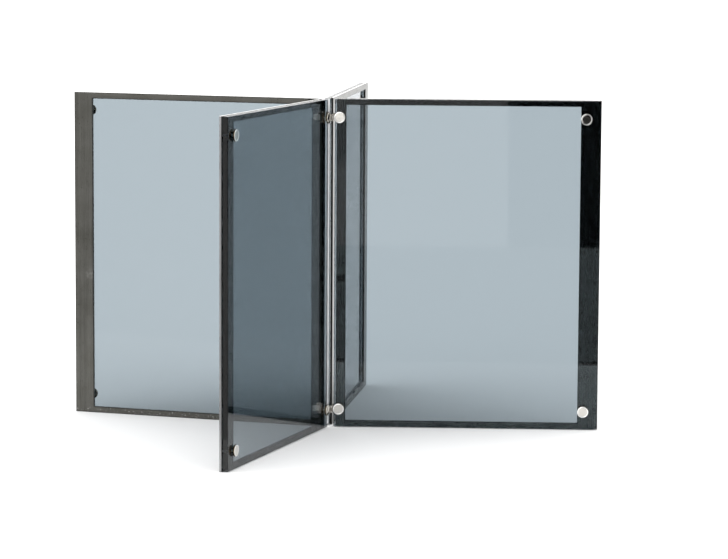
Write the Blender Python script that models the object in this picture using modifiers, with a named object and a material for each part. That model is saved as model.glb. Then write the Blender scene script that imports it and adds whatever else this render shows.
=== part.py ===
"""Folding glass screen of four wings that open into a cross.

Each wing is a thin metal frame with one thick smoked pane in front of it. Four turned knobs clamp the
pane, through soft spacers, onto blind holes in the frame. Three pairs of small pin hinges join the wings
in a chain: left - near - right - rear. The near and right wings meet glass to glass, with their hinge
leaves clamped under the inner knobs. The other two joints meet metal to metal.

A wing is laid out in its own plan frame: u runs outward from the pane's inner end, n points out of the
pane's front face, and z is up from the floor. All sizes are in metres and all angles in degrees.
"""

import math

import bmesh
import bpy
from mathutils import Matrix, Vector

# Wing
WING_WIDTH = 0.372  # from the pane's inner end to the frame's outer end
FRAME_HEIGHT = 0.464
FRAME_THICKNESS = 0.003
OUTER_STILE = 0.0285
INNER_STILE = 0.0135
RAIL = 0.009
FRAME_ARRIS = 0.0003

# Pane
PANE_THICKNESS = 0.008
PANE_OVERHANG = 0.0025  # the pane reaches this far past the frame, towards the hinges
PANE_OUTER_INSET = 0.0005
PANE_TOP_INSET = 0.0005
PANE_FLOOR_LIFT = 0.001
PANE_ARRIS = 0.0006

# Spacers between the pane and the frame
SPACER_THICKNESS = 0.0005
SPACER_RADIUS = 0.0042

# Knobs
KNOB_RADIUS = 0.008
KNOB_HEAD = 0.0026
KNOB_BEVEL = 0.0006
COLLAR_RADIUS = 0.005
STEM_RADIUS = 0.002
STEM_DEPTH = 0.002  # how far a stem reaches into the frame
KNOB_END_OFFSET = 0.026  # from the frame's top or bottom edge to a knob's centre
OUTER_KNOB_INSET = 0.021  # from the frame's outer end
HINGE_KNOB_INSET = 0.0068  # from the pane's inner end, over a hinge leaf
INNER_KNOB_MARGIN = 0.0025  # from the pane's inner end to the rim of a knob with no leaf under it

# Hinges
LEAF_THICKNESS = 0.0009
LEAF_HEIGHT = 0.0084
BARREL_RADIUS = 0.0017
PIN_RADIUS = 0.0007
PIN_HEAD_RADIUS = 0.0013
PIN_HEAD = 0.0006
KNOB_BARREL_GAP = 0.0004  # from a knob's rim to the barrel of a glass-side hinge
METAL_AXIS_INSET = 0.0016  # from the pane's inner end out to the axis of a metal-side hinge
METAL_BARREL_GAP = 0.0003  # from the frame's back face to the barrel of a metal-side hinge
METAL_LEAF_REACH = 0.013  # how far a metal-side leaf reaches over the stile
WEB_THICKNESS = 0.002

# Clearances
TOUCH = 0.00025  # between pieces that bear on each other
STEM_CLEARANCE = 0.0003
PANE_HOLE_CLEARANCE = 0.0006
PIN_CLEARANCE = 0.00025
KNUCKLE_GAP = 0.0003
BLIND_GAP = 0.0003
SHUT_GAP = 0.0005  # from a shut knob face to the plane midway between the wings

# Opening angles between neighbouring wings, as the screen stands
NEAR_RIGHT_ANGLE = 107.0
RIGHT_REAR_ANGLE = 85.0
LEFT_NEAR_ANGLE = 89.0

ROUND_SEGMENTS = 24
SMALL_SEGMENTS = 12
SMOOTH_ANGLE = math.radians(35)

# Worked out from the sizes above, in a wing's plan frame
SPACER_GAP = SPACER_THICKNESS + 2 * TOUCH
FRAME_FRONT = -(PANE_THICKNESS + SPACER_GAP)
FRAME_BACK = FRAME_FRONT - FRAME_THICKNESS
LEAF_TOP = TOUCH + LEAF_THICKNESS
KNOB_SEAT = LEAF_TOP + TOUCH
KNOB_FACE = KNOB_SEAT + KNOB_HEAD
INNER_KNOB_INSET = KNOB_RADIUS + INNER_KNOB_MARGIN
GLASS_AXIS_INSET = KNOB_RADIUS - HINGE_KNOB_INSET + KNOB_BARREL_GAP + BARREL_RADIUS
GLASS_AXIS_HEIGHT = KNOB_FACE + SHUT_GAP
METAL_AXIS_HEIGHT = BARREL_RADIUS + METAL_BARREL_GAP
GLASS_AXIS = (-GLASS_AXIS_INSET, GLASS_AXIS_HEIGHT)
METAL_AXIS = (-METAL_AXIS_INSET, FRAME_BACK - METAL_AXIS_HEIGHT)
BORE_RADIUS = PIN_RADIUS + PIN_CLEARANCE
KNUCKLE = (LEAF_HEIGHT - 2 * KNUCKLE_GAP) / 3
CUT = 0.002  # how far a cutter runs past the face it cuts

STEEL = ("polished_steel", (0.42, 0.41, 0.39), 0.22, 1.0)
CHROME = ("chrome", (0.82, 0.81, 0.79), 0.08, 1.0)
GLASS = ("smoked_glass", (0.46, 0.53, 0.58), 0.03, 0.0)
RUBBER = ("spacer_rubber", (0.03, 0.03, 0.03), 0.7, 0.0)


def clear_scene():
    for obj in list(bpy.data.objects):
        bpy.data.objects.remove(obj, do_unlink=True)


def new_collection(name, hidden=False):
    collection = bpy.data.collections.new(name)
    collection.hide_render = hidden
    bpy.context.scene.collection.children.link(collection)
    return collection


def make_material(name, colour, roughness, metallic):
    material = bpy.data.materials.new(name)
    material.use_nodes = True
    shader = material.node_tree.nodes["Principled BSDF"]
    shader.inputs["Base Color"].default_value = (*colour, 1.0)
    shader.inputs["Roughness"].default_value = roughness
    shader.inputs["Metallic"].default_value = metallic
    material.diffuse_color = (*colour, 1.0)
    return material


def object_from(name, fill):
    """A mesh object whose bmesh the function fill makes."""
    mesh = bpy.data.meshes.new(name)
    shape = bmesh.new()
    fill(shape)
    shape.to_mesh(mesh)
    shape.free()
    return bpy.data.objects.new(name, mesh)


def box_object(name, low, high):
    low, high = Vector(low), Vector(high)
    low, high = Vector(map(min, low, high)), Vector(map(max, low, high))
    place = Matrix.Translation((low + high) / 2) @ Matrix.Diagonal((*(high - low), 1.0))
    return object_from(name, lambda shape: bmesh.ops.create_cube(shape, size=1.0, matrix=place))


def rod_object(name, start, end, radius, segments):
    """A cylinder from start to end."""
    start, end = Vector(start), Vector(end)
    turn = (end - start).to_track_quat("Z", "Y").to_matrix().to_4x4()
    place = Matrix.Translation((start + end) / 2) @ turn

    def fill(shape):
        bmesh.ops.create_cone(
            shape,
            cap_ends=True,
            segments=segments,
            radius1=radius,
            radius2=radius,
            depth=(end - start).length,
            matrix=place,
        )

    return object_from(name, fill)


def shade_round(obj):
    obj.data.shade_smooth()
    obj.data.set_sharp_from_angle(angle=SMOOTH_ANGLE)


class Wing:
    """One wing's plan frame, the empty that carries its pieces, and the side that its pane faces."""

    def __init__(self, name, side, axis, heading, at, parent):
        self.name = name
        self.side = side  # +1 where the pane faces left of the wing's heading, -1 where it faces right
        self.axis = axis  # the (u, n) that the empty stands on
        self.empty = bpy.data.objects.new(name + "_wing", None)
        self.empty.empty_display_size = 0.03
        parts.objects.link(self.empty)
        self.heading = heading
        self.origin = Vector(at)
        place = Matrix.Translation((*at, 0)) @ Matrix.Rotation(math.radians(heading), 4, "Z")
        if parent:
            self.empty.parent = parent.empty
            self.empty.matrix_parent_inverse = Matrix.Identity(4)
            place = parent.place.inverted() @ place
        self.empty.matrix_local = place
        self.place = parent.place @ place if parent else place

    def local(self, u, n, z):
        """A point of the plan frame as the empty sees it."""
        return Vector((u - self.axis[0], self.side * (n - self.axis[1]), z))

    def plan(self, u, n):
        """A point of the plan frame seen from above."""
        return (self.place @ self.local(u, n, 0)).xy

    def box(self, name, low, high):
        return box_object(name, self.local(*low), self.local(*high))

    def rod(self, name, start, end, radius, segments=SMALL_SEGMENTS):
        return rod_object(name, self.local(*start), self.local(*end), radius, segments)

    def add(self, obj, material):
        """Puts a finished piece on the wing."""
        obj.data.materials.append(material)
        obj.parent = self.empty
        parts.objects.link(obj)
        return obj

    def combine(self, obj, other, operation):
        """Cuts or joins another shape of this wing with obj."""
        other.parent = self.empty
        other.hide_render = True
        other.display_type = "WIRE"
        cutters.objects.link(other)
        modifier = obj.modifiers.new(other.name, "BOOLEAN")
        modifier.operation = operation
        modifier.solver = "EXACT"
        modifier.object = other


def bevel(obj, width):
    modifier = obj.modifiers.new("arris", "BEVEL")
    modifier.width = width
    modifier.segments = 1
    modifier.limit_method = "ANGLE"


def knob_places(wing):
    """Each knob's name, its place (u, z), and whether it clamps a hinge leaf."""
    has_leaf = wing.name in ("near", "right")
    inner = HINGE_KNOB_INSET if has_leaf else INNER_KNOB_INSET
    rows = (("top", FRAME_HEIGHT - KNOB_END_OFFSET), ("bottom", KNOB_END_OFFSET))
    for row, z in rows:
        yield "outer_" + row, WING_WIDTH - OUTER_KNOB_INSET, z, False
        yield "inner_" + row, inner, z, has_leaf


def make_frame(wing):
    """The metal frame: a plate with a window, and a blind hole behind each knob."""
    frame = wing.box(
        wing.name + "_frame",
        (PANE_OVERHANG, FRAME_FRONT, 0),
        (WING_WIDTH, FRAME_BACK, FRAME_HEIGHT),
    )
    window = wing.box(
        wing.name + "_window_cut",
        (PANE_OVERHANG + INNER_STILE, FRAME_FRONT + CUT, RAIL),
        (WING_WIDTH - OUTER_STILE, FRAME_BACK - CUT, FRAME_HEIGHT - RAIL),
    )
    wing.combine(frame, window, "DIFFERENCE")
    bevel(frame, FRAME_ARRIS)
    floor_of_hole = FRAME_FRONT - STEM_DEPTH - BLIND_GAP
    for spot, u, z, _ in knob_places(wing):
        name = f"{wing.name}_frame_hole_{spot}"
        ends = (u, FRAME_FRONT + CUT, z), (u, floor_of_hole, z)
        hole = wing.rod(name, *ends, STEM_RADIUS + STEM_CLEARANCE)
        wing.combine(frame, hole, "DIFFERENCE")
    return wing.add(frame, steel)


def make_pane(wing):
    """The glass pane, drilled for the knobs' stems."""
    pane = wing.box(
        wing.name + "_glass",
        (0, 0, PANE_FLOOR_LIFT),
        (WING_WIDTH - PANE_OUTER_INSET, -PANE_THICKNESS, FRAME_HEIGHT - PANE_TOP_INSET),
    )
    bevel(pane, PANE_ARRIS)
    for spot, u, z, _ in knob_places(wing):
        name = f"{wing.name}_glass_hole_{spot}"
        ends = (u, CUT, z), (u, -PANE_THICKNESS - CUT, z)
        hole = wing.rod(name, *ends, STEM_RADIUS + PANE_HOLE_CLEARANCE)
        wing.combine(pane, hole, "DIFFERENCE")
    return wing.add(pane, glass)


def turned(name, profile, steps):
    """A solid turned about its Z axis from a profile of (radius, height), listed from the top down."""
    mesh = bpy.data.meshes.new(name)
    points = [(radius, 0, height) for radius, height in profile]
    edges = [(i, i + 1) for i in range(len(points) - 1)]
    mesh.from_pydata(points, edges, [])
    obj = bpy.data.objects.new(name, mesh)
    screw = obj.modifiers.new("turn", "SCREW")
    screw.axis = "Z"
    screw.steps = steps
    screw.render_steps = steps
    screw.use_merge_vertices = True
    screw.merge_threshold = 0.00001
    screw.use_smooth_shade = True
    return obj


def stand_on_pane(obj, wing, u, z):
    """Turns a piece so that its Z axis points out of the pane at (u, z)."""
    out = Vector((0, wing.side, 0))
    obj.rotation_mode = "QUATERNION"
    obj.rotation_quaternion = out.to_track_quat("Z", "Y")
    obj.location = wing.local(u, 0, z)


def make_knob(wing, spot, u, z, over_leaf):
    """A knob with its stem. Away from a hinge leaf, a collar takes the leaf's thickness."""
    stem_end = FRAME_FRONT - STEM_DEPTH
    head = [
        (0, KNOB_FACE),
        (KNOB_RADIUS - KNOB_BEVEL, KNOB_FACE),
        (KNOB_RADIUS, KNOB_FACE - KNOB_BEVEL),
        (KNOB_RADIUS, KNOB_SEAT),
    ]
    if over_leaf:
        neck = [(STEM_RADIUS, KNOB_SEAT)]
    else:
        neck = [(COLLAR_RADIUS, KNOB_SEAT), (COLLAR_RADIUS, TOUCH), (STEM_RADIUS, TOUCH)]
    stem = [(STEM_RADIUS, stem_end), (0, stem_end)]
    knob = turned(f"{wing.name}_knob_{spot}", head + neck + stem, ROUND_SEGMENTS)
    stand_on_pane(knob, wing, u, z)
    return wing.add(knob, chrome)


def make_spacer(wing, spot, u, z):
    """The soft ring that keeps the pane off the frame round a stem."""
    name = f"{wing.name}_spacer_{spot}"
    front = -PANE_THICKNESS - TOUCH
    back = front - SPACER_THICKNESS
    ring = wing.rod(name, (u, front, z), (u, back, z), SPACER_RADIUS, ROUND_SEGMENTS)
    ends = (u, front + CUT, z), (u, back - CUT, z)
    hole = wing.rod(name + "_hole", *ends, STEM_RADIUS + STEM_CLEARANCE)
    wing.combine(ring, hole, "DIFFERENCE")
    shade_round(ring)
    return wing.add(ring, rubber)


def knuckle_spans(z):
    """The three knuckles of a barrel centred on z, from the bottom up."""
    low = z - LEAF_HEIGHT / 2
    step = KNUCKLE + KNUCKLE_GAP
    return [(low + i * step, low + i * step + KNUCKLE) for i in range(3)]


def finish_leaf(wing, leaf, axis, z, kept):
    """Adds the barrel to a leaf, keeps only its own knuckles, and bores it for the pin."""
    u, n = axis
    half = LEAF_HEIGHT / 2
    ends = (u, n, z - half), (u, n, z + half)
    wing.combine(leaf, wing.rod(leaf.name + "_barrel", *ends, BARREL_RADIUS), "UNION")
    reach = BARREL_RADIUS + KNUCKLE_GAP
    for i, (low, high) in enumerate(knuckle_spans(z)):
        if i in kept:
            continue
        low = low - (CUT if i == 0 else KNUCKLE_GAP)
        high = high + (CUT if i == 2 else KNUCKLE_GAP)
        corners = (u - reach, n - reach, low), (u + reach, n + reach, high)
        slot = wing.box(f"{leaf.name}_slot_{i}", *corners)
        wing.combine(leaf, slot, "DIFFERENCE")
    ends = (u, n, z - half - CUT), (u, n, z + half + CUT)
    bore = wing.rod(leaf.name + "_bore", *ends, BORE_RADIUS)
    wing.combine(leaf, bore, "DIFFERENCE")
    return wing.add(leaf, chrome)


def make_glass_leaf(wing, name, z, kept):
    """A cranked leaf that lies on the pane under an inner knob and rises to the axis."""
    u, n = GLASS_AXIS
    half = LEAF_HEIGHT / 2
    back = u - WEB_THICKNESS / 2
    far = HINGE_KNOB_INSET + KNOB_RADIUS - KNOB_BEVEL
    leaf = wing.box(name, (back, TOUCH, z - half), (far, LEAF_TOP, z + half))
    web = wing.box(name + "_web", (back, TOUCH, z - half), (back + WEB_THICKNESS, n, z + half))
    wing.combine(leaf, web, "UNION")
    hole = wing.rod(
        name + "_hole",
        (HINGE_KNOB_INSET, TOUCH - CUT, z),
        (HINGE_KNOB_INSET, LEAF_TOP + CUT, z),
        STEM_RADIUS + STEM_CLEARANCE,
    )
    wing.combine(leaf, hole, "DIFFERENCE")
    return finish_leaf(wing, leaf, GLASS_AXIS, z, kept)


def make_metal_leaf(wing, name, z, kept):
    """A flat leaf brazed to the frame's back, with its barrel past the stile's end."""
    half = LEAF_HEIGHT / 2
    front = FRAME_BACK - TOUCH
    leaf = wing.box(
        name,
        (METAL_AXIS[0], front, z - half),
        (METAL_LEAF_REACH, front - LEAF_THICKNESS, z + half),
    )
    return finish_leaf(wing, leaf, METAL_AXIS, z, kept)


def make_pin(wing, name, axis, z):
    """A hinge pin with a head at each end."""
    top = LEAF_HEIGHT / 2 + KNUCKLE_GAP
    profile = [
        (0, top + PIN_HEAD),
        (PIN_HEAD_RADIUS, top + PIN_HEAD),
        (PIN_HEAD_RADIUS, top),
        (PIN_RADIUS, top),
        (PIN_RADIUS, -top),
        (PIN_HEAD_RADIUS, -top),
        (PIN_HEAD_RADIUS, -top - PIN_HEAD),
        (0, -top - PIN_HEAD),
    ]
    pin = turned(name, profile, SMALL_SEGMENTS)
    pin.location = wing.local(*axis, z)
    return wing.add(pin, chrome)


def make_hinges(first, second, axis, make_leaf):
    """A top and a bottom hinge. The first wing has the pin and the end knuckles."""
    for row, z in (("top", FRAME_HEIGHT - KNOB_END_OFFSET), ("bottom", KNOB_END_OFFSET)):
        stem = f"{first.name}_{second.name}_hinge_{row}"
        make_leaf(first, stem + "_leaf_" + first.name, z, (0, 2))
        make_leaf(second, stem + "_leaf_" + second.name, z, (1,))
        make_pin(first, stem + "_pin", axis, z)


def make_wing_pieces(wing):
    make_frame(wing)
    make_pane(wing)
    for spot, u, z, over_leaf in knob_places(wing):
        make_knob(wing, spot, u, z, over_leaf)
        make_spacer(wing, spot, u, z)


def centre_on_floor(wings, root):
    """Moves the root so that the middle of the whole plan stands on the origin."""
    corners = [
        wing.plan(u, n)
        for wing in wings
        for u, n in (
            (0, 0),
            (WING_WIDTH - PANE_OUTER_INSET, 0),
            (WING_WIDTH, FRAME_FRONT),
            (WING_WIDTH, FRAME_BACK),
            (PANE_OVERHANG, FRAME_BACK),
        )
    ]
    for i in range(2):
        values = [corner[i] for corner in corners]
        root.empty.location[i] -= (min(values) + max(values)) / 2


clear_scene()
parts = new_collection("folding_glass_screen")
cutters = new_collection("cutters", hidden=True)
steel = make_material(*STEEL)
chrome = make_material(*CHROME)
glass = make_material(*GLASS)
rubber = make_material(*RUBBER)

right = Wing("right", -1, GLASS_AXIS, 0.0, (0.0, 0.0), None)
near = Wing("near", 1, GLASS_AXIS, 360.0 - NEAR_RIGHT_ANGLE, (0.0, 0.0), right)
rear = Wing("rear", 1, METAL_AXIS, RIGHT_REAR_ANGLE, right.plan(*METAL_AXIS), right)
left = Wing("left", -1, METAL_AXIS, near.heading - LEFT_NEAR_ANGLE, near.plan(*METAL_AXIS), near)
wings = (right, near, rear, left)

for each in wings:
    make_wing_pieces(each)
make_hinges(right, near, GLASS_AXIS, make_glass_leaf)
make_hinges(right, rear, METAL_AXIS, make_metal_leaf)
make_hinges(near, left, METAL_AXIS, make_metal_leaf)
centre_on_floor(wings, right)
bpy.context.view_layer.update()
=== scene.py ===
"""A four-wing folding screen of smoked glass on steel frames: looks, camera and studio."""

import math

import bmesh
import bpy
from mathutils import Matrix, Vector


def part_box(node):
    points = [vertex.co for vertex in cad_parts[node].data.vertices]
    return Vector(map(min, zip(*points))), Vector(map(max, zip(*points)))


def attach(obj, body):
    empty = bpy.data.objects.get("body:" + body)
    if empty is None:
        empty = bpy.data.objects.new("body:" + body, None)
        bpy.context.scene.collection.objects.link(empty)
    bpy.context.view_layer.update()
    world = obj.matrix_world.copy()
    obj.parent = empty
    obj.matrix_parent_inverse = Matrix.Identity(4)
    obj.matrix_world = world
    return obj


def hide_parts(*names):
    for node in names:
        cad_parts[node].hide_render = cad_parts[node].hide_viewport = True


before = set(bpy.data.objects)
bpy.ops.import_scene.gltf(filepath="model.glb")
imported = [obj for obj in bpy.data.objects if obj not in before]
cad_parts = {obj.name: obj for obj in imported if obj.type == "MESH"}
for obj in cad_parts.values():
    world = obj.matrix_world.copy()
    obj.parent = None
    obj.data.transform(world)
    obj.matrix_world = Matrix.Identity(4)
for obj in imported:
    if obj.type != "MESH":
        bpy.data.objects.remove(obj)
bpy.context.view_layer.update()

# The screen, in metres: heading of each wing in plan, and the side that its glass faces
WINGS = {"right": (0.0, -1), "near": (253.0, 1), "rear": (85.0, 1), "left": (164.0, -1)}
KNOB_SPOTS = [(end, level) for end in ("inner", "outer") for level in ("top", "bottom")]
OVER_LEAF = {("right", "inner"), ("near", "inner")}
SPACER_MIDDLE = 0.0085  # from the pane's face back to the middle of a spacer
OUTER_STILE = 0.0285
INNER_STILE = 0.0135
RAIL = 0.009
INNER_KNOB_FROM_END = {"right": 0.0043, "near": 0.0043, "rear": 0.008, "left": 0.008}

# Knob profile
KNOB_RADIUS = 0.008
KNOB_FACE = 0.0040
KNOB_SEAT = 0.0014
COLLAR_RADIUS = 0.005
STEM_RADIUS = 0.002
STEM_END = -0.0110
TOUCH = 0.00025
KNOB_STEPS = 64

# Steel looks
ONE_SIDED_PAINTED_SHADE = {"right", "near"}  # frames whose painted shade and painted reflection are on the glass side only
BLOOM = {"right": 0.25, "near": 0.5, "rear": 0.4, "left": 1.0}  # white specks on the bottom rails
STEEL_WARM, STEEL_COOL = (0.101, 0.0985, 0.085), (0.097, 0.096, 0.091)
RUBBED = (0.22, 0.215, 0.2)
BLOOM_WHITE = (0.78, 0.77, 0.74)
# painted shade for the dark line along the frame's edges
EDGE_LINE_SHADE = (0.03, 0.029, 0.027)
PIT_RUST = (0.018, 0.016, 0.013)
# painted shade for the hinge end in the gap between wings
HINGE_END_SHADE = (0.022, 0.021, 0.019)
SAWN_DARK, SAWN_LIGHT = (0.16, 0.16, 0.165), (0.44, 0.44, 0.445)
# the light top colour is partly a painted highlight
TOP_PAINTED_HIGHLIGHT, TOP_DARK = (0.90, 0.89, 0.87), (0.12, 0.11, 0.10)
SKIN = 0.0001  # depth within which a point counts as on an end or top face
PAINTED_DARK_FROM = 0.255  # the right frame's colour is painted dark above this height, a painted reflection of a dark surround
TIDE_LOW, TIDE_HIGH = 0.0905, 0.0975

# Glass looks
GLASS_DENSITY = {"right": 180.0, "near": 166.0, "rear": 166.0, "left": 166.0}
GLASS_TINT = (0.1125, 0.222, 0.281)
GLASS_IOR = 1.5
GROUND_DARK, GROUND_LIGHT = (0.86, 0.88, 0.89), (0.93, 0.94, 0.95)

# Knob and hinge looks
PLATE_BRIGHT, PLATE_FACE = (0.97, 0.96, 0.94), (0.63, 0.61, 0.57)
PLATE_STAIN, PLATE_NECK = (0.30, 0.26, 0.20), (0.30, 0.25, 0.17)
# the dark wall colour is painted shade round the knob
PLATE_WALL_SHADE, PLATE_WALL_BROWN = (0.07, 0.06, 0.05), (0.22, 0.165, 0.09)
HINGE_BRIGHT, HINGE_GREASE = (0.62, 0.60, 0.56), (0.13, 0.11, 0.085)
RUBBER_DARK, RUBBER_AGED = (0.012, 0.012, 0.012), (0.035, 0.034, 0.032)

# Studio
SKY = 1.63
FLOOR_HALF = 40.0
FLOOR_WHITE = 0.955
CAMERA_PLACE = (0.24357, -4.34526, 0.74890)
CAMERA_TURN = (2.61, 7.08, 0.319)  # yaw to the left, pitch down, roll; degrees
LENS, SENSOR = 153.87, 36.0


class Nodes:
    """Builds one material's node tree with short calls."""

    def __init__(self, name):
        self.material = bpy.data.materials.new(name)
        self.material.use_nodes = True
        self.tree = self.material.node_tree
        self.shader = self.tree.nodes["Principled BSDF"]
        self.output = self.tree.nodes["Material Output"]

    def new(self, kind, **settings):
        node = self.tree.nodes.new(kind)
        for key, value in settings.items():
            setattr(node, key, value)
        return node

    def put(self, socket, value):
        if isinstance(value, bpy.types.NodeSocket):
            self.tree.links.new(value, socket)
        else:
            socket.default_value = value

    def math(self, operation, *values, clamp=False):
        node = self.new("ShaderNodeMath", operation=operation, use_clamp=clamp)
        for socket, value in zip(node.inputs, values):
            self.put(socket, value)
        return node.outputs[0]

    def add(self, a, b):
        return self.math("ADD", a, b)

    def minus(self, a, b):
        return self.math("SUBTRACT", a, b)

    def times(self, a, b):
        return self.math("MULTIPLY", a, b)

    def least(self, a, b):
        return self.math("MINIMUM", a, b)

    def most(self, a, b):
        return self.math("MAXIMUM", a, b)

    def vector(self, x, y, z):
        node = self.new("ShaderNodeCombineXYZ")
        for socket, value in zip(node.inputs, (x, y, z)):
            self.put(socket, value)
        return node.outputs[0]

    def noise(self, place, scale=1.0, detail=2.0, roughness=0.5):
        node = self.new("ShaderNodeTexNoise")
        self.put(node.inputs["Vector"], place)
        self.put(node.inputs["Scale"], scale)
        self.put(node.inputs["Detail"], detail)
        self.put(node.inputs["Roughness"], roughness)
        return node.outputs["Fac"]

    def span(self, value, low, high, to_low=0.0, to_high=1.0):
        """Maps low..high to to_low..to_high, held at the ends."""
        node = self.new("ShaderNodeMapRange", clamp=True)
        for key, number in (("Value", value), ("From Min", low), ("From Max", high),
                            ("To Min", to_low), ("To Max", to_high)):
            self.put(node.inputs[key], number)
        return node.outputs["Result"]

    def mix(self, share, a, b):
        node = self.new("ShaderNodeMix", data_type="RGBA")
        self.put(node.inputs["Factor"], share)
        self.put(node.inputs[6], a if isinstance(a, bpy.types.NodeSocket) else (*a, 1.0))
        self.put(node.inputs[7], b if isinstance(b, bpy.types.NodeSocket) else (*b, 1.0))
        return node.outputs[2]

    def scaled(self, colour, by):
        node = self.new("ShaderNodeVectorMath", operation="SCALE")
        self.put(node.inputs[0], colour)
        self.put(node.inputs["Scale"], by)
        return node.outputs[0]

    def split(self, vector):
        node = self.new("ShaderNodeSeparateXYZ")
        self.put(node.inputs[0], vector)
        return node.outputs

    def bump(self, height, distance, strength=1.0):
        node = self.new("ShaderNodeBump")
        self.put(node.inputs["Strength"], strength)
        self.put(node.inputs["Distance"], distance)
        self.put(node.inputs["Height"], height)
        return node.outputs[0]

    def set(self, **values):
        for key, value in values.items():
            self.put(self.shader.inputs[key.replace("_", " ")], value)


def middle(node):
    low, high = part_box(node)
    return (low + high) / 2


def outward(wing):
    """The direction that a wing's glass faces."""
    heading, side = WINGS[wing]
    angle = math.radians(heading + 90)
    return Vector((math.cos(angle), math.sin(angle), 0)) * side


def along(wing):
    angle = math.radians(WINGS[wing][0])
    return Vector((math.cos(angle), math.sin(angle), 0))


def frame_corner(wing):
    """Where the frame's inner end meets the floor, on the knobs' line."""
    spot = middle(f"{wing}_spacer_inner_bottom") - along(wing) * INNER_KNOB_FROM_END[wing]
    return Vector((spot.x, spot.y, 0.0))


def wing_place(n, wing):
    """Sockets for (along the wing, across it, height), which stay with the wing as it turns."""
    place = n.new("ShaderNodeTexCoord").outputs["Object"]
    turn = Matrix.Rotation(-math.radians(WINGS[wing][0]), 3, "Z")
    mapping = n.new("ShaderNodeMapping", vector_type="POINT")
    n.put(mapping.inputs["Vector"], place)
    mapping.inputs["Rotation"].default_value = (0, 0, -math.radians(WINGS[wing][0]))
    mapping.inputs["Location"].default_value = -(turn @ frame_corner(wing))
    return n.split(mapping.outputs[0])


def dot_out(n, wing):
    """How squarely a face looks out of the wing's plane."""
    node = n.new("ShaderNodeVectorMath", operation="DOT_PRODUCT")
    n.put(node.inputs[0], n.new("ShaderNodeTexCoord").outputs["Normal"])
    node.inputs[1].default_value = outward(wing)
    return node.outputs["Value"]


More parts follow.
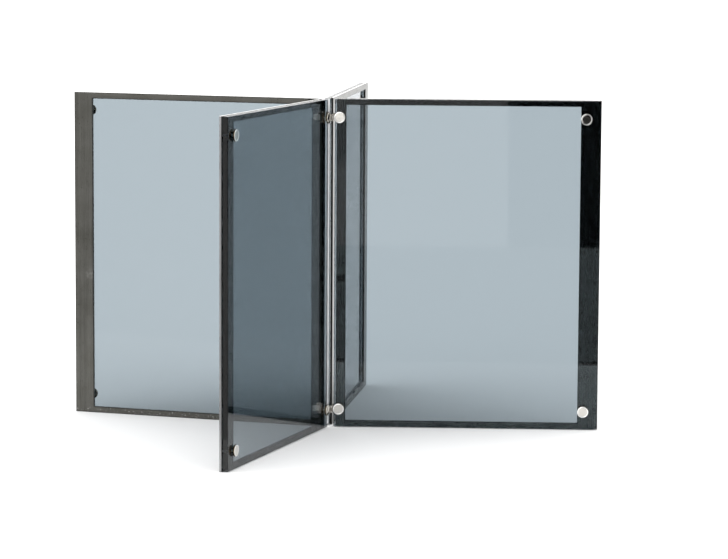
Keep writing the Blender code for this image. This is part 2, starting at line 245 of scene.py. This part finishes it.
def steel(wing, patina_and_painted_shade):
    """Satin flat bar: brushed along each member, blotched, pitted, with a dark line of painted shade along
    its edges.
    """
    n = Nodes(f"{wing}_aged_steel_and_painted_shade")
    u, v, z = wing_place(n, wing)
    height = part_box(f"{wing}_frame")[1].z
    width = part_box("right_frame")[1].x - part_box("right_frame")[0].x
    in_window = n.times(n.span(u, INNER_STILE - 0.0002, INNER_STILE + 0.0002),
                       n.span(u, width - OUTER_STILE - 0.0002, width - OUTER_STILE + 0.0002, 1, 0))
    across = n.mix(in_window, n.vector(u, v, 0), n.vector(z, v, 0))
    length = n.mix(in_window, n.vector(0, 0, z), n.vector(0, 0, u))
    across = n.split(across)[0]
    length = n.split(length)[2]
    broad = n.noise(n.vector(n.times(across, 190), n.times(length, 2.4), v), 1, 3, 0.6)
    fine = n.noise(n.vector(n.times(across, 1500), n.times(length, 14), v), 1, 2)
    place = n.vector(u, v, z)
    blotch = n.noise(place, 17, 5, 0.62)
    speck = n.noise(place, 520, 2, 0.5)
    pit = n.span(speck, 0.685, 0.72)
    # white bloom: sparse specks on the bottom rail, and faint clouds elsewhere
    specks = n.times(n.span(z, RAIL * 0.7, RAIL, BLOOM[wing], 0),
                    n.span(n.noise(place, 560, 2, 0.5), 0.64, 0.68))
    clouds = n.times(n.span(blotch, 0.62, 0.75, 0, 0.4), n.span(n.noise(place, 240, 4, 0.7), 0.5, 0.62))
    bloom = n.most(specks, clouds)
    tone = n.add(n.span(broad, 0.3, 0.7, 0.84, 1.18), n.span(fine, 0.3, 0.7, -0.07, 0.07))
    tone = n.add(tone, n.span(blotch, 0.35, 0.68, -0.12, 0.12))
    # on some frames the patina is painted shade and painted reflection
    front = n.span(dot_out(n, wing), -0.1, 0.1) if wing in ONE_SIDED_PAINTED_SHADE else 1.0
    shade = n.add(n.times(patina_and_painted_shade(n, u, z, blotch), front), n.minus(1, front))
    tone = n.times(tone, shade)
    base = n.scaled(n.mix(blotch, STEEL_WARM, STEEL_COOL), tone)
    # rubbed patches, then a dark line of painted shade round the outer edges and the window, standing in
    # for the shadow in the gaps there
    edge_u = n.least(u, n.minus(width, u))
    edge_z = n.least(z, n.minus(height, z))
    outer_edge = n.least(edge_u, edge_z)
    beside = n.most(n.minus(INNER_STILE, u), n.minus(u, width - OUTER_STILE))
    above = n.most(n.minus(RAIL, z), n.minus(z, height - RAIL))
    window_edge = n.most(beside, above)
    rubbed = n.times(n.span(outer_edge, 0.001, 0.0026, 1, 0),
                    n.span(n.noise(place, 60, 3, 0.7), 0.5, 0.7, 0.0, 0.5))
    base = n.mix(rubbed, base, RUBBED)
    base = n.mix(n.times(bloom, 0.8), base, BLOOM_WHITE)
    painted_edge_shade = n.span(n.least(outer_edge, window_edge), 0.0009, 0.0015, 1, 0)
    painted_edge_shade = n.times(painted_edge_shade, n.span(n.noise(place, 45, 3, 0.7), 0.35, 0.6, 0.95, 0.6))
    base = n.mix(painted_edge_shade, base, EDGE_LINE_SHADE)
    base = n.mix(pit, base, PIT_RUST)
    # bare metal on the sawn ends; on top, bare metal painted near white, partly a painted highlight, with
    # dark specks
    end = n.span(n.minus(width, u), SKIN, SKIN * 3, 1, 0)
    base = n.mix(end, base, n.mix(fine, SAWN_DARK, SAWN_LIGHT))
    top = n.span(z, height - SKIN * 3, height - SKIN)
    base = n.mix(top, base, n.mix(n.span(speck, 0.62, 0.68), TOP_PAINTED_HIGHLIGHT, TOP_DARK))
    # painted shade: the hinge end is painted near black, where it sits in the gap between wings
    base = n.mix(n.span(u, SKIN * 2, SKIN * 4, 1, 0), base, HINGE_END_SHADE)
    rough = n.add(n.span(blotch, 0.3, 0.7, 0.23, 0.32), n.span(fine, 0.3, 0.7, -0.04, 0.05))
    rough = n.math("ADD", rough, n.times(n.add(bloom, pit), 0.25), clamp=True)
    relief = n.minus(n.add(n.times(fine, 0.5), n.times(bloom, 0.6)), pit)
    n.set(Base_Color=base, Roughness=rough, Normal=n.bump(relief, 0.00006, 0.5))
    # where the colour is painted dark as painted shade and painted reflection, the broad faces don't
    # whiten when seen nearly edge-on either
    flat_on = n.span(n.math("ABSOLUTE", dot_out(n, wing)), 0.5, 0.7)
    dimmed_by_painted_shade = n.times(flat_on, n.span(shade, 0.3, 0.6, 1, 0))
    n.set(Specular_Tint=n.mix(dimmed_by_painted_shade, (1, 1, 1), (0.05, 0.05, 0.05)))
    n.set(Metallic=1.0)
    return n.material


def even_patina(n, u, z, blotch):
    return n.span(blotch, 0.3, 0.7, 0.95, 1.05)


def hinge_stile_painted_shade(n, u, z, blotch):
    """Painted shade: nearly black on the hinge stile, where the wings meet; even elsewhere."""
    return n.span(u, INNER_STILE - 0.0003, INNER_STILE + 0.0003, 0.22, 1.0)


def band(n, value, low, high, soft):
    """1 between low and high, 0 outside."""
    return n.times(n.span(value, low, low + soft), n.span(value, high - soft, high, 1, 0))


def painted_reflection_and_tide(n, u, z, blotch):
    """Painted reflection: painted dark above as a mirrored dark surround, painted brighter below as the
    mirrored floor, with a real tide mark between.
    """
    edge = n.add(z, n.span(blotch, 0.3, 0.7, -0.001, 0.001))
    # painted reflection: darkest across the middle and the outer stile, lighter towards the hinge stile
    painted_dark_reflection = n.times(n.span(u, 0.015, 0.05, 0.9, 0.28), n.span(u, 0.3, 0.345, 1, 0.36))
    high = n.span(edge, PAINTED_DARK_FROM, PAINTED_DARK_FROM + 0.004)
    tone = n.add(n.times(painted_dark_reflection, high), n.times(1.55, n.minus(1, high)))
    tone = n.most(tone, n.span(edge, TIDE_LOW, TIDE_LOW + 0.002, 3.5, 0.0))
    tide = band(n, edge, TIDE_LOW, TIDE_HIGH, 0.001)
    inner_tide = n.times(band(n, edge, 0.204, 0.218, 0.004), n.span(u, 0.015, 0.02, 1, 0))
    return n.times(tone, n.span(n.most(tide, inner_tide), 0, 1, 1, 0.2))


def glass(wing):
    """Thick smoked plate: clear polished faces with a few wiped smears, ground edges."""
    n = Nodes(f"{wing}_smoked_plate")
    u, v, z = wing_place(n, wing)
    place = n.vector(u, v, z)
    smear = n.span(n.noise(n.vector(n.times(u, 14), v, n.times(z, 5)), 1, 5, 0.6), 0.56, 0.78)
    dust = n.span(n.noise(place, 700, 2), 0.72, 0.76)
    low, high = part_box(f"{wing}_glass")
    top = n.span(z, high.z - 0.0007, high.z - 0.0004)
    bottom = n.span(z, low.z + 0.0004, low.z + 0.0007, 1, 0)
    ground = n.most(top, bottom)
    facing = n.math("ABSOLUTE", dot_out(n, wing))
    rough = n.add(n.times(smear, 0.03), n.times(dust, 0.05))
    rough = n.add(rough, n.times(ground, n.span(n.noise(place, 300, 3), 0.3, 0.7, 0.12, 0.4)))
    n.set(Roughness=rough)
    n.set(Base_Color=(1, 1, 1, 1), Metallic=0.0, IOR=GLASS_IOR, Transmission_Weight=1.0)
    n.set(Specular_Tint=n.mix(n.span(facing, 0.5, 0.9), (1, 1, 1), (0.5, 0.5, 0.5)))
    chips = n.times(ground, n.noise(place, 420, 4, 0.7))
    waves = n.noise(place, 9, 1)
    relief = n.add(chips, n.times(waves, 0.02))
    n.set(Normal=n.bump(relief, 0.00008, 0.6))
    volume = n.new("ShaderNodeVolumeAbsorption")
    volume.inputs["Color"].default_value = (*GLASS_TINT, 1)
    volume.inputs["Density"].default_value = GLASS_DENSITY[wing]
    n.put(n.output.inputs["Volume"], volume.outputs[0])
    return n.material


def ground_edge(wing):
    """Frosted end of a pane: pale grey, finely grained and streaked."""
    n = Nodes(f"{wing}_ground_edge")
    u, v, z = wing_place(n, wing)
    place = n.vector(u, v, z)
    grain = n.noise(place, 900, 3, 0.6)
    streak = n.noise(n.vector(0, n.times(v, 900), n.times(z, 60)), 1, 3)
    tone = n.add(n.span(grain, 0.3, 0.7, 0.86, 1.08), n.span(streak, 0.3, 0.7, -0.14, 0.1))
    n.set(Base_Color=n.scaled(n.mix(grain, GROUND_DARK, GROUND_LIGHT), tone))
    n.set(Roughness=n.span(grain, 0.3, 0.7, 0.42, 0.62), Normal=n.bump(grain, 0.00005, 0.6))
    return n.material


def nickel():
    """Turned and plated knob: satin face cut by the tool, polished rim, stains, and a side wall painted
    dark as painted shade, mottled brown.
    """
    n = Nodes("turned_nickel")
    x, y, z = n.split(n.new("ShaderNodeTexCoord").outputs["Object"])
    place = n.vector(x, y, z)
    radius = n.math("SQRT", n.add(n.times(x, x), n.times(y, y)))
    face = n.times(n.span(radius, 0.0062, 0.0064, 1, 0), n.span(z, 0.0036, 0.0038))
    # painted shade: the side wall below the rim is painted dark, mottled brown
    painted_wall_shade = n.span(radius, 0.00768, 0.0078)
    rings = n.noise(n.vector(n.times(radius, 5200), 0, 0), 1, 2)
    stain = n.noise(place, 330, 4, 0.65)
    neck = n.span(z, 0.0012, 0.0019, 1, 0)
    base = n.mix(face, PLATE_BRIGHT, PLATE_FACE)
    base = n.mix(painted_wall_shade, base, n.mix(n.span(stain, 0.4, 0.6), PLATE_WALL_SHADE, PLATE_WALL_BROWN))
    base = n.mix(n.times(n.span(stain, 0.52, 0.75), 0.3), base, PLATE_STAIN)
    base = n.mix(neck, base, PLATE_NECK)
    rough = n.add(n.times(face, 0.01), n.span(stain, 0.3, 0.8, 0.03, 0.08))
    rough = n.add(rough, n.times(rings, 0.03))
    relief = n.add(n.times(n.times(rings, face), 0.8), n.times(stain, 0.2))
    n.set(Base_Color=base, Roughness=rough, Normal=n.bump(relief, 0.00001, 0.5))
    n.set(Metallic=1.0)
    return n.material


def plated_hinge():
    """Hinge leaves and pins: plated, with patches of dark grease."""
    n = Nodes("plated_hinge")
    place = n.new("ShaderNodeTexCoord").outputs["Object"]
    grime = n.noise(place, 420, 4, 0.65)
    scratch = n.noise(place, 1800, 2)
    base = n.mix(n.span(grime, 0.4, 0.66), HINGE_BRIGHT, HINGE_GREASE)
    rough = n.add(n.span(grime, 0.3, 0.7, 0.12, 0.42), n.times(scratch, 0.06))
    relief = n.add(grime, n.times(scratch, 0.3))
    n.set(Base_Color=base, Roughness=rough, Normal=n.bump(relief, 0.00004, 0.5))
    n.set(Metallic=1.0)
    return n.material


def rubber():
    """Soft black washer, greyed with age."""
    n = Nodes("spacer_washer")
    place = n.new("ShaderNodeTexCoord").outputs["Object"]
    grain = n.noise(place, 2200, 3)
    age = n.noise(place, 160, 3)
    n.set(Base_Color=n.mix(age, RUBBER_DARK, RUBBER_AGED))
    n.set(Roughness=n.span(grain, 0.3, 0.7, 0.55, 0.85), Normal=n.bump(grain, 0.00004, 0.5))
    return n.material


def knob_profile(over_leaf):
    """(radius, height) from the middle of the face round to the end of the stem."""
    head = [
        (0.0015, KNOB_FACE - 0.00003), (0.0035, KNOB_FACE - 0.00003), (0.0052, KNOB_FACE - 0.00003),
        (0.0061, KNOB_FACE - 0.00003), (0.00630, KNOB_FACE - 0.00004), (0.00640, KNOB_FACE - 0.00007),
        (0.00650, KNOB_FACE - 0.00007), (0.00660, KNOB_FACE - 0.00002), (0.00675, KNOB_FACE),
        (0.00700, KNOB_FACE), (0.00745, KNOB_FACE - 0.00001), (0.00762, KNOB_FACE - 0.00006),
        (0.00778, KNOB_FACE - 0.00018), (0.00790, KNOB_FACE - 0.00038), (0.00797, KNOB_FACE - 0.00066),
        (KNOB_RADIUS, KNOB_FACE - 0.00100),
        (KNOB_RADIUS, KNOB_SEAT + 0.00055), (0.00794, KNOB_SEAT + 0.00025), (0.00776, KNOB_SEAT + 0.00006),
        (0.00750, KNOB_SEAT),
    ]
    if over_leaf:
        neck = [(STEM_RADIUS + 0.0002, KNOB_SEAT), (STEM_RADIUS, KNOB_SEAT - 0.0002)]
    else:
        neck = [
            (COLLAR_RADIUS + 0.0002, KNOB_SEAT), (COLLAR_RADIUS, KNOB_SEAT - 0.0002),
            (COLLAR_RADIUS, TOUCH + 0.0003), (COLLAR_RADIUS - 0.0002, TOUCH), (STEM_RADIUS, TOUCH),
        ]
    stem = [(STEM_RADIUS, STEM_END + 0.0004), (STEM_RADIUS - 0.0004, STEM_END)]
    return head + neck + stem


def lathe(name, profile, material):
    """A closed solid turned about Z."""
    shape = bmesh.new()
    rings = []
    for radius, height in profile:
        ring = []
        for i in range(KNOB_STEPS):
            a = 2 * math.pi * i / KNOB_STEPS
            ring.append(shape.verts.new((radius * math.cos(a), radius * math.sin(a), height)))
        rings.append(ring)
    for upper, lower in zip(rings, rings[1:]):
        for i in range(KNOB_STEPS):
            j = (i + 1) % KNOB_STEPS
            shape.faces.new((upper[i], lower[i], lower[j], upper[j]))
    top = shape.verts.new((0, 0, profile[0][1] + 0.00001))
    end = shape.verts.new((0, 0, profile[-1][1]))
    for i in range(KNOB_STEPS):
        j = (i + 1) % KNOB_STEPS
        shape.faces.new((top, rings[0][i], rings[0][j]))
        shape.faces.new((end, rings[-1][j], rings[-1][i]))
    for face in shape.faces:
        face.smooth = True
    mesh = bpy.data.meshes.new(name)
    shape.to_mesh(mesh)
    shape.free()
    mesh.materials.append(material)
    obj = bpy.data.objects.new(name, mesh)
    bpy.context.scene.collection.objects.link(obj)
    mesh.set_sharp_from_angle(angle=math.radians(50))
    return obj


def add_knobs(material):
    for wing in WINGS:
        out = outward(wing)
        for end, level in KNOB_SPOTS:
            node = f"{wing}_knob_{end}_{level}"
            centre = middle(f"{wing}_spacer_{end}_{level}") + out * SPACER_MIDDLE
            knob = lathe(f"turned_{node}", knob_profile((wing, end) in OVER_LEAF), material)
            knob.rotation_mode = "QUATERNION"
            knob.rotation_quaternion = out.to_track_quat("Z", "Y")
            knob.location = centre
            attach(knob, f"{wing}_wing")
            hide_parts(node)


def dress(name, material):
    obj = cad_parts[name]
    obj.data.materials.clear()
    obj.data.materials.append(material)
    for face in obj.data.polygons:
        face.material_index = 0


def dress_end(name, toward, material):
    """Gives the faces that look toward one way a second material."""
    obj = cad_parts[name]
    obj.data.materials.append(material)
    for face in obj.data.polygons:
        if face.normal.dot(toward) > 0.95:
            face.material_index = 1


def dress_nodes():
    # right: painted reflection; near and left: painted shade on the hinge stile; rear: even patina
    patinas_and_painted_shades = {"right": painted_reflection_and_tide, "near": hinge_stile_painted_shade, "left": hinge_stile_painted_shade}
    hinge, washer = plated_hinge(), rubber()
    for wing in WINGS:
        dress(f"{wing}_frame", steel(wing, patinas_and_painted_shades.get(wing, even_patina)))
        dress(f"{wing}_glass", glass(wing))
        dress_end(f"{wing}_glass", -along(wing), ground_edge(wing))
    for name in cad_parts:
        if "_hinge_" in name:
            dress(name, hinge)
        elif "_spacer_" in name:
            dress(name, washer)


def flat_sheet(name, corners, material):
    mesh = bpy.data.meshes.new(name)
    mesh.from_pydata(corners, [], [(0, 1, 2, 3)])
    mesh.materials.append(material)
    obj = bpy.data.objects.new(name, mesh)
    bpy.context.scene.collection.objects.link(obj)
    return obj


def add_floor():
    n = Nodes("studio_floor")
    n.set(Base_Color=(FLOOR_WHITE, FLOOR_WHITE, FLOOR_WHITE, 1), Roughness=1.0, Specular_IOR_Level=0.0)
    h = FLOOR_HALF
    flat_sheet("studio_floor", [(-h, -h, 0), (h, -h, 0), (h, h, 0), (-h, h, 0)], n.material)


def dark_card(name, corners, level):
    """A studio flag that only mirrors see."""
    n = Nodes(name)
    n.set(Base_Color=(level, level, level, 1), Roughness=1.0, Specular_IOR_Level=0.0)
    card = flat_sheet(name, corners, n.material)
    for ray in ("camera", "diffuse", "transmission", "volume_scatter", "shadow"):
        setattr(card, f"visible_{ray}", False)


def floor_card(name, x, y, z, level):
    (x0, x1), (y0, y1) = x, y
    dark_card(name, [(x0, y0, z), (x1, y0, z), (x1, y1, z), (x0, y1, z)], level)


def add_studio():
    world = bpy.data.worlds.new("studio")
    bpy.context.scene.world = world
    world.use_nodes = True
    sky = world.node_tree.nodes["Background"]
    sky.inputs["Color"].default_value = (1, 1, 1, 1)
    sky.inputs["Strength"].default_value = SKY
    add_floor()
    floor_card("flag_far", (0.25, 5), (-14, -2.26), 0.004, 0.01)
    dark_card("flag_high", [(0.3, -6.5, 0.01), (6, -6.5, 0.01), (6, -6.5, 4), (0.3, -6.5, 4)], 0.01)
    floor_card("flag_left", (-6, -0.22), (-6, -0.55), 0.003, 0.5)
    floor_card("flag_near", (-0.22, 3), (-2.26, -0.62), 0.003, 0.28)


def add_camera():
    lens = bpy.data.cameras.new("camera")
    lens.sensor_width = SENSOR
    lens.lens = LENS
    lens.clip_start, lens.clip_end = 0.05, 200
    camera = bpy.data.objects.new("camera", lens)
    bpy.context.scene.collection.objects.link(camera)
    yaw, pitch, roll = (math.radians(a) for a in CAMERA_TURN)
    ahead = Vector((-math.sin(yaw) * math.cos(pitch), math.cos(yaw) * math.cos(pitch), -math.sin(pitch)))
    across = Vector((math.cos(yaw), math.sin(yaw), 0))
    up = across.cross(ahead)
    across, up = (across * math.cos(roll) + up * math.sin(roll),
                  up * math.cos(roll) - across * math.sin(roll))
    turn = Matrix((across, up, -ahead)).transposed().to_4x4()
    camera.matrix_world = Matrix.Translation(CAMERA_PLACE) @ turn
    bpy.context.scene.camera = camera


add_camera()
add_studio()
dress_nodes()
add_knobs(nickel())

scene = bpy.context.scene
scene.view_settings.view_transform = "Standard"
scene.cycles.use_denoising = True
scene.cycles.max_bounces = 24
scene.cycles.transmission_bounces = 20
scene.cycles.glossy_bounces = 8
